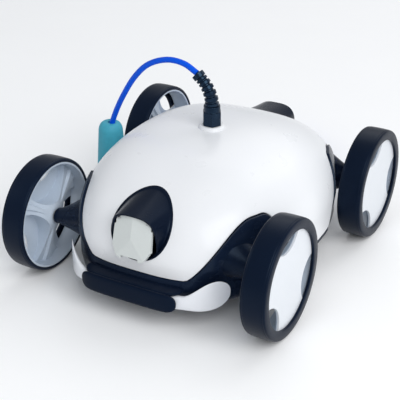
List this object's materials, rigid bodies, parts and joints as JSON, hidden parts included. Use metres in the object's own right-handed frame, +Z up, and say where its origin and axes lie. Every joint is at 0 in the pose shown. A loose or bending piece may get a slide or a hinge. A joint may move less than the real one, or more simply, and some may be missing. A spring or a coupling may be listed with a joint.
{
  "type": "pool cleaner",
  "caption": "Jet-driven pool cleaner: domed white body on free wheels, with a nozzle and flap valve at each end, bumpers, a filter hatch below and a floating blue cable.",
  "frame": {"origin": "on the ground, midway between the four wheels", "axes": "+Z up, -Y towards the front nozzle, +X towards the cleaner's left-hand side seen from behind it"},
  "size_m": [0.3875, 0.62, 0.2664],
  "materials": {
    "arm": "gloss blue-black moulded plastic",
    "bumper": "gloss white moulded plastic",
    "bush": "natural bearing plastic",
    "cable": "satin blue floating cable",
    "casing": "gloss blue-black moulded plastic",
    "core": "varnished copper windings on iron",
    "filter_frame": "grey plastic",
    "filter_mesh": "fine white mesh",
    "flap": "satin pale grey plastic",
    "float": "satin turquoise foam",
    "gland": "satin blue-black nylon",
    "inner": "matte dark plastic",
    "latch": "pale grey plastic",
    "motor": "matte dark plastic",
    "nozzle": "gloss blue-black moulded plastic",
    "pad": "satin rubber",
    "plug": "matte black plastic",
    "propeller": "pale grey plastic",
    "rubber_flap": "satin rubber",
    "seal": "satin rubber",
    "shell": "gloss white moulded plastic",
    "steel": "stainless steel",
    "tyre": "smooth satin rubber",
    "wheel": "gloss white moulded plastic"
  },
  "bodies": {
    "cleaner_body": {"top_shell": "shell", "lower_casing": "casing", "screws": "steel", "filter_chamber": "inner", "axle_arm_front_left": "arm", "axle_arm_front_right": "arm", "axle_arm_rear_left": "arm", "axle_arm_rear_right": "arm", "axle_pins": "steel", "axle_clips": "steel", "front_bumper": "bumper", "rear_bumper": "bumper", "front_bumper_pad": "pad", "rear_bumper_pad": "pad", "front_nozzle": "nozzle", "rear_nozzle": "nozzle", "front_duct": "inner", "rear_duct": "inner", "flap_pins": "steel", "motor_housing": "motor", "motor_caps": "motor", "motor_seals": "seal", "motor_core": "core", "gland_collar": "shell", "gland_nut": "gland", "strain_relief": "gland", "hatch_pin": "steel", "cable": "cable", "cable_float": "float", "cable_coil": "cable", "cable_plug": "plug"},
    "wheel_front_left": {"tyre_front_left": "tyre", "wheel_rim_front_left": "wheel", "wheel_cover_front_left": "wheel", "wheel_bush_front_left": "bush"},
    "wheel_front_right": {"tyre_front_right": "tyre", "wheel_rim_front_right": "wheel", "wheel_cover_front_right": "wheel", "wheel_bush_front_right": "bush"},
    "wheel_rear_left": {"tyre_rear_left": "tyre", "wheel_rim_rear_left": "wheel", "wheel_cover_rear_left": "wheel", "wheel_bush_rear_left": "bush"},
    "wheel_rear_right": {"tyre_rear_right": "tyre", "wheel_rim_rear_right": "wheel", "wheel_cover_rear_right": "wheel", "wheel_bush_rear_right": "bush"},
    "front_flap_valve": {"front_flap": "flap"},
    "rear_flap_valve": {"rear_flap": "flap"},
    "rotor": {"motor_shaft": "steel", "front_propeller": "propeller", "rear_propeller": "propeller", "propeller_nuts": "steel"},
    "hatch": {"filter_hatch": "casing", "filter_frame": "filter_frame", "filter_mesh": "filter_mesh"},
    "intake_valve_front": {"intake_flap_front": "rubber_flap"},
    "intake_valve_rear": {"intake_flap_rear": "rubber_flap"},
    "left_latch": {"latch_left": "latch"},
    "right_latch": {"latch_right": "latch"}
  },
  "joints": [
    {"name": "front_left_wheel_roll", "type": "hinge", "parent": "cleaner_body", "child": "wheel_front_left", "pos_m": [-0.1715, -0.145, 0.077], "axis": [1, 0, 0], "continuous": true},
    {"name": "front_right_wheel_roll", "type": "hinge", "parent": "cleaner_body", "child": "wheel_front_right", "pos_m": [0.1715, -0.145, 0.077], "axis": [1, 0, 0], "continuous": true},
    {"name": "rear_left_wheel_roll", "type": "hinge", "parent": "cleaner_body", "child": "wheel_rear_left", "pos_m": [-0.1715, 0.145, 0.077], "axis": [1, 0, 0], "continuous": true},
    {"name": "rear_right_wheel_roll", "type": "hinge", "parent": "cleaner_body", "child": "wheel_rear_right", "pos_m": [0.1715, 0.145, 0.077], "axis": [1, 0, 0], "continuous": true},
    {"name": "front_flap_swing", "type": "hinge", "parent": "cleaner_body", "child": "front_flap_valve", "pos_m": [0, -0.19666, 0.133], "axis": [-1, 0, 0], "range_deg": [0, 36]},
    {"name": "rear_flap_swing", "type": "hinge", "parent": "cleaner_body", "child": "rear_flap_valve", "pos_m": [0, 0.19666, 0.133], "axis": [1, 0, 0], "range_deg": [0, 36]},
    {"name": "rotor_spin", "type": "hinge", "parent": "cleaner_body", "child": "rotor", "pos_m": [0, 0, 0.117], "axis": [0, 1, 0], "continuous": true},
    {"name": "hatch_swing", "type": "hinge", "parent": "cleaner_body", "child": "hatch", "pos_m": [0, 0.0845, 0.021], "axis": [1, 0, 0], "range_deg": [0, 95]},
    {"name": "front_intake_flap_swing", "type": "hinge", "parent": "hatch", "child": "intake_valve_front", "pos_m": [0, -0.052, 0.0308], "axis": [1, 0, 0], "range_deg": [0, 45]},
    {"name": "rear_intake_flap_swing", "type": "hinge", "parent": "hatch", "child": "intake_valve_rear", "pos_m": [0, 0.052, 0.0308], "axis": [-1, 0, 0], "range_deg": [0, 45]},
    {"name": "left_latch_turn", "type": "hinge", "parent": "cleaner_body", "child": "left_latch", "pos_m": [-0.038, -0.092, 0.0237], "axis": [0, 0, 1], "range_deg": [0, 90]},
    {"name": "right_latch_turn", "type": "hinge", "parent": "cleaner_body", "child": "right_latch", "pos_m": [0.038, -0.092, 0.0237], "axis": [0, 0, -1], "range_deg": [0, 90]}
  ]
}
